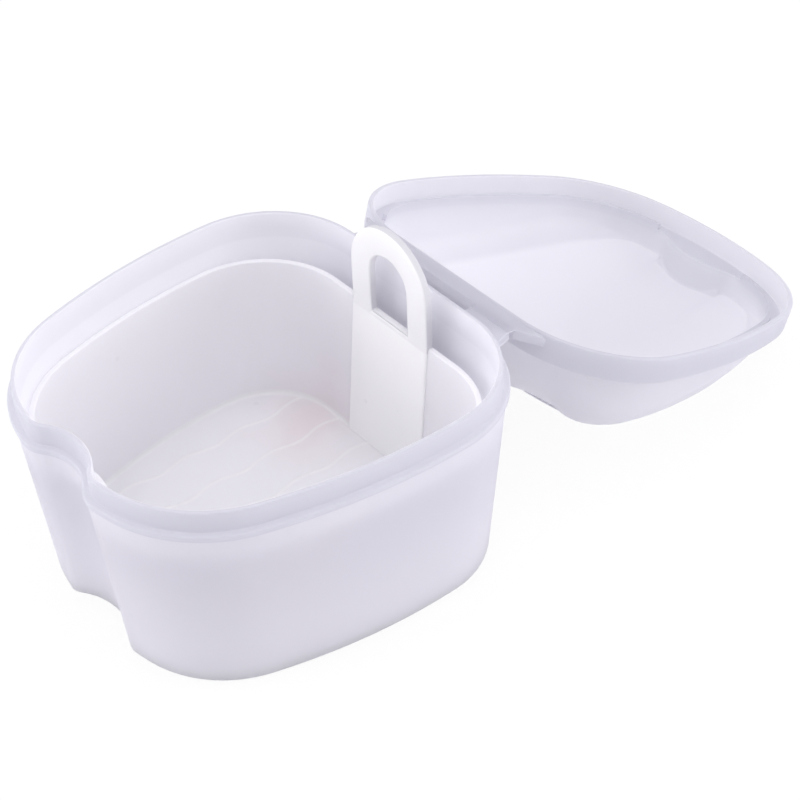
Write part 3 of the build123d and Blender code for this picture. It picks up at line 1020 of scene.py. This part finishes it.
class DENTURE_OT_handle(bpy.types.Operator):
    """Build the basket's arch handle and the raised strip below it"""

    bl_idname = "denture.handle"
    bl_label = "Handle"

    def execute(self, context):
        edges = context.scene.denture_edges
        foot = BASKET_HIGH.z
        straight = HANDLE_HIGH.z - foot - HANDLE_HALF_WIDTH
        front_y = BASKET_HIGH.y - BASKET_RIM_WALL - HANDLE_STEP
        fall = (foot - BASKET_FLOOR_TOP) * SLOPE
        window = HANDLE_HALF_WIDTH - HANDLE_STRIP
        bm = bmesh.new()
        outer = [bm.verts.new(p) for p in arch_points(HANDLE_HALF_WIDTH, straight, foot, front_y)]
        inner = [bm.verts.new(p) for p in arch_points(window, straight, foot, front_y)]
        for a, b, c, d in zip(outer, outer[1:], inner[1:], inner):
            bm.faces.new((a, b, c, d))
        inner[0].co.z -= HANDLE_SINK
        inner[-1].co.z -= HANDLE_SINK
        top_row = [outer[0], inner[0], inner[-1], outer[-1]]
        low_row = [
            bm.verts.new((vert.co.x, front_y - fall, BASKET_FLOOR_TOP - 0.2 * MM))
            for vert in top_row
        ]
        for a, b, c, d in zip(top_row, top_row[1:], low_row[1:], low_row):
            bm.faces.new((a, b, c, d))
        made = bmesh.ops.extrude_face_region(bm, geom=bm.faces[:])["geom"]
        back = [item for item in made if isinstance(item, bmesh.types.BMVert)]
        bmesh.ops.translate(bm, verts=back, vec=(0, BASKET_HIGH.y - front_y, 0))
        low_back = [vert for vert in back if vert.co.z < foot - MM]
        strip_depth = HANDLE_STEP + STRIP_SINK
        back_step = strip_depth + front_y - BASKET_HIGH.y
        bmesh.ops.translate(bm, verts=low_back, vec=(0, back_step, 0))
        bmesh.ops.recalc_face_normals(bm, faces=bm.faces)
        sharp = [
            edge for edge in bm.edges
            if len(edge.link_faces) == 2 and edge.calc_face_angle(0) > math.radians(40)
        ]
        bmesh.ops.bevel(
            bm, geom=sharp, offset=edges.handle, offset_type="OFFSET", segments=4,
            profile=0.5, affect="EDGES", clamp_overlap=True, material=-1,
        )
        finish_piece(
            bm, "handle_arch", "basket", ["basket_handle"],
            handle_finish(),
        )
        return {"FINISHED"}


def area_light(name, place, target, size, power):
    """A soft square lamp that faces its target."""
    lamp = bpy.data.lights.new(name, "AREA")
    lamp.size = size
    lamp.energy = power
    holder = bpy.data.objects.new(name, lamp)
    holder.location = place
    holder.rotation_mode = "QUATERNION"
    holder.rotation_quaternion = (target - place).to_track_quat("-Z", "Y")
    bpy.context.scene.collection.objects.link(holder)


class DENTURE_OT_stage(bpy.types.Operator):
    """Set the pale floor, the white surroundings, the soft lamps and the camera"""

    bl_idname = "denture.stage"
    bl_label = "Stage"

    def execute(self, context):
        stage = context.scene.denture_stage
        self.add_floor(stage)
        self.add_surroundings(context, stage)
        middle = (CAD_BOX[0] + CAD_BOX[1]) / 2
        area_light("softbox", Vector((0.1, -0.05, 0.95)), middle, 0.9, stage.softbox_power)
        area_light("left_lamp", Vector((-0.5, -0.75, 0.18)), middle, 0.6, stage.side_power)
        area_light("right_lamp", Vector((0.65, 0.65, 0.18)), middle, 0.6, stage.side_power)
        self.add_camera(context, stage)
        return {"FINISHED"}

    def add_floor(self, stage):
        bm = bmesh.new()
        bmesh.ops.create_grid(bm, x_segments=1, y_segments=1, size=4.0)
        mesh = bpy.data.meshes.new("floor")
        bm.to_mesh(mesh)
        bm.free()
        floor = bpy.data.objects.new("floor", mesh)
        bpy.context.scene.collection.objects.link(floor)
        shader = Shader(bpy.data.materials.new("floor"))
        paper = shader.node(
            "ShaderNodeBsdfDiffuse", {}, {"Color": (*stage.floor_colour, 1.0)},
        )
        white = shader.node("ShaderNodeEmission", {}, {"Strength": 1.0})
        seen = shader.node("ShaderNodeLightPath", output="Is Camera Ray") * stage.floor_glow
        surface = shader.node("ShaderNodeMixShader", {}, {0: seen, 1: paper, 2: white})
        shader.node("ShaderNodeOutputMaterial", {}, {"Surface": surface})
        mesh.materials.append(shader.owner)

    def add_surroundings(self, context, stage):
        shader = Shader(bpy.data.worlds.new("surroundings"))
        camera, glossy, transmitted = (
            shader.node("ShaderNodeLightPath", output=ray)
            for ray in ("Is Camera Ray", "Is Glossy Ray", "Is Transmission Ray")
        )
        seen = camera.math("MAXIMUM", glossy).math("MAXIMUM", transmitted)
        even = shader.node(
            "ShaderNodeBackground", {}, {"Color": WHITE, "Strength": stage.sky},
        )
        white = shader.node("ShaderNodeBackground", {}, {"Color": WHITE})
        light = shader.node("ShaderNodeMixShader", {}, {0: seen, 1: even, 2: white})
        shader.node("ShaderNodeOutputWorld", {}, {"Surface": light})
        context.scene.world = shader.owner

    def add_camera(self, context, stage):
        lens = bpy.data.cameras.new("camera")
        lens.lens = stage.lens
        lens.sensor_width = 36.0
        lens.clip_start = 0.01
        camera = bpy.data.objects.new("camera", lens)
        level = math.cos(stage.elevation)
        back = Vector((
            math.sin(stage.azimuth) * level, -math.cos(stage.azimuth) * level,
            math.sin(stage.elevation),
        ))
        facing = (-back).to_track_quat("-Z", "Y").to_matrix()
        turned = facing @ Matrix.Rotation(stage.roll, 3, "Z")
        camera.matrix_world = Matrix.Translation(stage.camera_place) @ turned.to_4x4()
        context.scene.collection.objects.link(camera)
        context.scene.camera = camera
        context.scene.view_settings.view_transform = "Standard"


class DENTURE_PT_panel(bpy.types.Panel):
    """Lists the pieces of the denture case and their settings"""

    bl_idname = "DENTURE_PT_panel"
    bl_label = "Denture Case"
    bl_space_type = "VIEW_3D"
    bl_region_type = "UI"
    bl_category = "Denture Case"

    def draw(self, context):
        for operator in OPERATORS:
            self.layout.operator(operator.bl_idname)
        for name in GROUPS:
            group = getattr(context.scene, name)
            box = self.layout.box()
            for prop in group.bl_rna.properties:
                if prop.identifier not in ("rna_type", "name"):
                    box.prop(group, prop.identifier)


OPERATORS = (
    DENTURE_OT_stage, DENTURE_OT_tub, DENTURE_OT_lid, DENTURE_OT_hinge, DENTURE_OT_basket,
    DENTURE_OT_handle,
)
GROUPS = {
    "denture_plastic": DENTURE_PG_plastic,
    "denture_edges": DENTURE_PG_edges,
    "denture_stage": DENTURE_PG_stage,
}
CLASSES = (*GROUPS.values(), *OPERATORS, DENTURE_PT_panel)


def register():
    for item in CLASSES:
        bpy.utils.register_class(item)
    for name, group in GROUPS.items():
        setattr(bpy.types.Scene, name, PointerProperty(type=group))


def unregister():
    for name in GROUPS:
        delattr(bpy.types.Scene, name)
    for item in reversed(CLASSES):
        bpy.utils.unregister_class(item)


def main():
    register()
    for operator in OPERATORS:
        group, name = operator.bl_idname.split(".")
        getattr(getattr(bpy.ops, group), name)()


if __name__ == "__main__":
    main()
